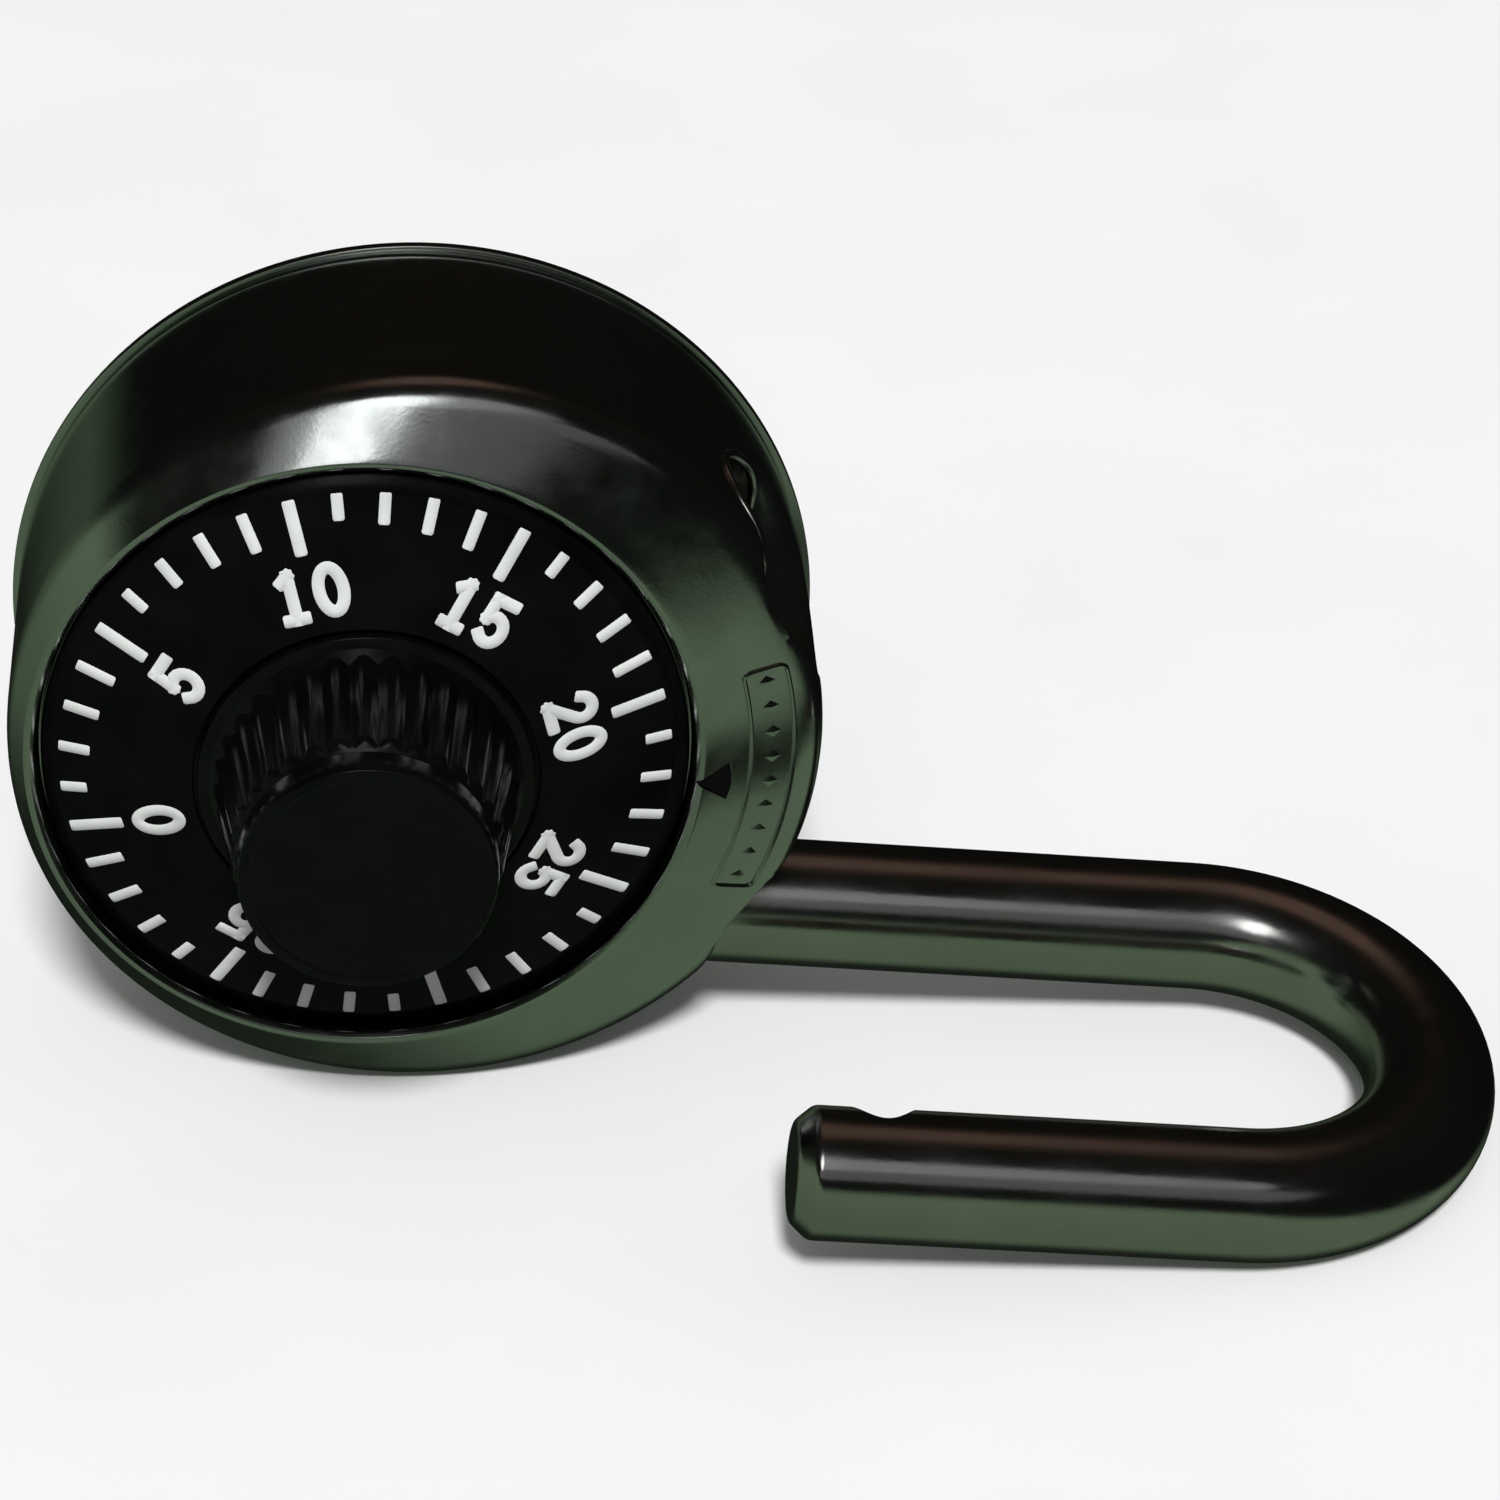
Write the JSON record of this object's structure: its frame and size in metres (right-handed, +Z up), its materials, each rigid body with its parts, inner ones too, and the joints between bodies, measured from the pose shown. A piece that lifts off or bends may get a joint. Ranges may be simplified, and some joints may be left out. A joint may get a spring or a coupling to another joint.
{
  "type": "combination padlock",
  "caption": "Round combination padlock with an off-centre numbered dial, a fluted knob and a bent-bar shackle drawn out and swung forward.",
  "frame": {"origin": "centre of the flat back face of the case", "axes": "+Z up with the lock standing on its round edge, +Y out of the flat back, +X the way the shackle leaves the case; the dial faces -Y"},
  "size_m": [0.0902, 0.0419, 0.0488],
  "materials": {
    "case_steel": "polished steel, like a soft mirror",
    "dial_black": "glossy black plastic with white numbers and marks",
    "knob_black": "glossy black plastic, fluted grip",
    "shackle_steel": "hardened steel, polished",
    "plate_steel": "stamped steel",
    "hard_steel": "hardened and ground",
    "spring_steel": "drawn spring wire and strip",
    "wheel_brass": "stamped brass",
    "zinc": "die-cast or turned, bright zinc"
  },
  "bodies": {
    "case": {"case_shell": "case_steel", "back_cover": "case_steel", "mechanism_plate": "plate_steel", "dial_bushing": "wheel_brass", "heel_guide": "wheel_brass", "toe_guide": "wheel_brass", "wheel_post": "zinc", "wheel_retainer": "spring_steel", "wheel_spacer": "zinc", "lever_pivot_pin": "hard_steel", "lever_clip": "spring_steel", "lever_spring": "spring_steel", "plate_post_1": "zinc", "plate_post_2": "zinc", "plate_post_3": "zinc"},
    "dial": {"dial_disc": "dial_black", "knob": "knob_black", "knob_cap": "knob_black", "dial_spindle": "zinc", "spindle_washer": "spring_steel", "spindle_clip": "spring_steel", "drive_cam": "wheel_brass"},
    "middle_wheel": {"middle_wheel": "wheel_brass"},
    "back_wheel": {"back_wheel": "wheel_brass"},
    "lever": {"locking_lever": "plate_steel", "latch_spring": "spring_steel"},
    "latch": {"latch_pawl": "hard_steel", "latch_rivet": "zinc"},
    "heel": {"heel_retainer": "spring_steel"},
    "shackle": {"shackle": "shackle_steel"}
  },
  "joints": [
    {"name": "dial_spin", "type": "hinge", "parent": "case", "child": "dial", "pos_m": [-0.003, -0.02, 0], "axis": [0, -1, 0], "continuous": true},
    {"name": "middle_wheel_turn", "type": "hinge", "parent": "dial", "child": "middle_wheel", "pos_m": [-0.003, -0.0043, 0], "axis": [0, -1, 0], "range_deg": [-90, 240]},
    {"name": "back_wheel_turn", "type": "hinge", "parent": "middle_wheel", "child": "back_wheel", "pos_m": [-0.003, -0.0026, 0], "axis": [0, -1, 0], "range_deg": [0, 330]},
    {"name": "lever_drop", "type": "hinge", "parent": "case", "child": "lever", "pos_m": [-0.0108, -0.005, 0.0135], "axis": [0, -1, 0], "range_deg": [-8.3, 0], "stiffness_Nm_per_rad": 0.008, "springref_deg": 28.65},
    {"name": "latch_slide", "type": "slide", "parent": "lever", "child": "latch", "axis": [0, 0, 1], "range_m": [-0.0025, 0], "stiffness_N_per_m": 150, "springref_m": 0.003, "deforming": ["latch_spring"]},
    {"name": "heel_slide", "type": "slide", "parent": "case", "child": "heel", "axis": [1, 0, 0], "range_m": [-0.013, 0]},
    {"name": "shackle_swing", "type": "hinge", "parent": "heel", "child": "shackle", "pos_m": [0.01, -0.012, -0.013], "axis": [1, 0, 0], "range_deg": [-93.3, 176.7]}
  ]
}
